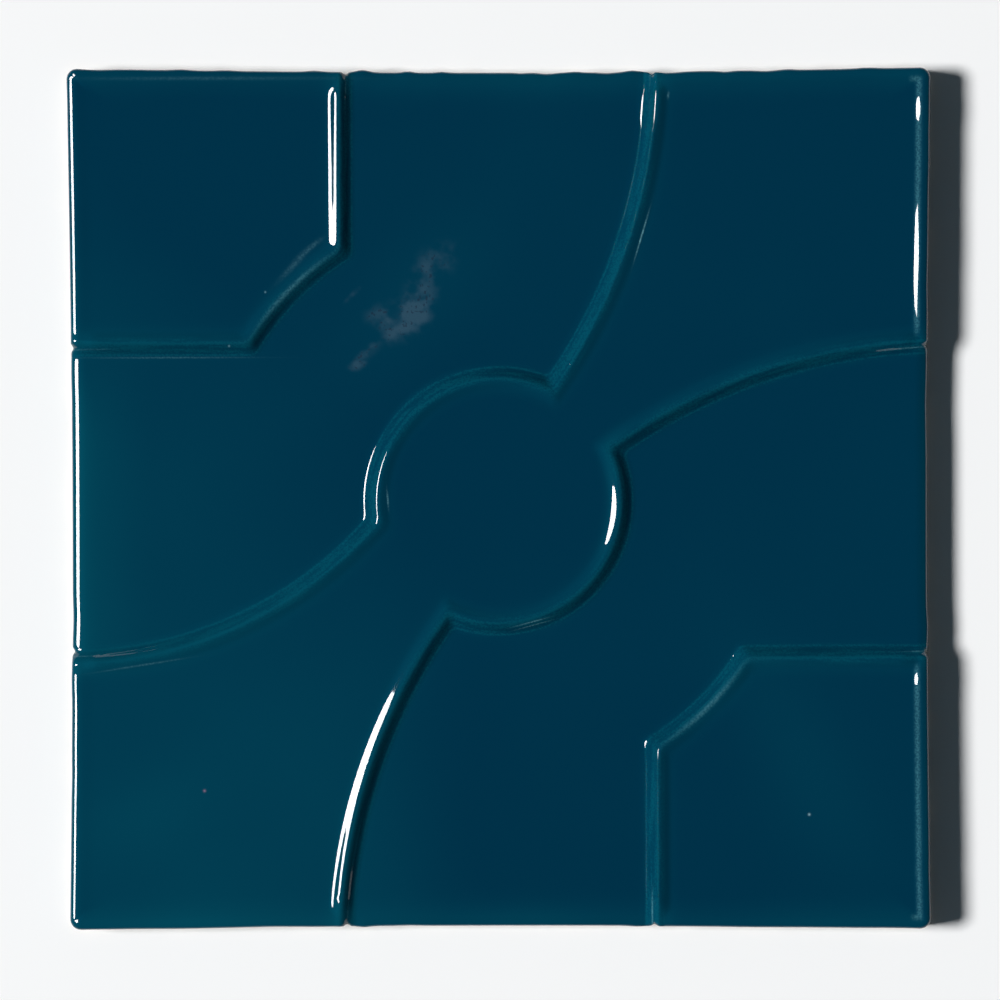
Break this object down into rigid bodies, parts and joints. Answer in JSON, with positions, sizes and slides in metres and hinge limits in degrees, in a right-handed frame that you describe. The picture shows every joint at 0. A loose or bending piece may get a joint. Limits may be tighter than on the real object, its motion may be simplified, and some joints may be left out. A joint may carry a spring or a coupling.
{
  "type": "ceramic accent tile",
  "caption": "Square glazed ceramic wall tile with a two-level relief: raised corner fields and a raised band that sweeps over a round hub from corner to corner.",
  "frame": {"origin": "middle of the tile's flat back, on the surface that it lies on", "axes": "+Z out of the glazed face, +Y towards the tile's top edge as it hangs on a wall, +X to the right seen from the face"},
  "size_m": [0.1524, 0.1524, 0.01],
  "materials": {
    "glaze": "high gloss deep teal glaze"
  },
  "bodies": {
    "root": {"accent_tile": "glaze"}
  },
  "joints": []
}
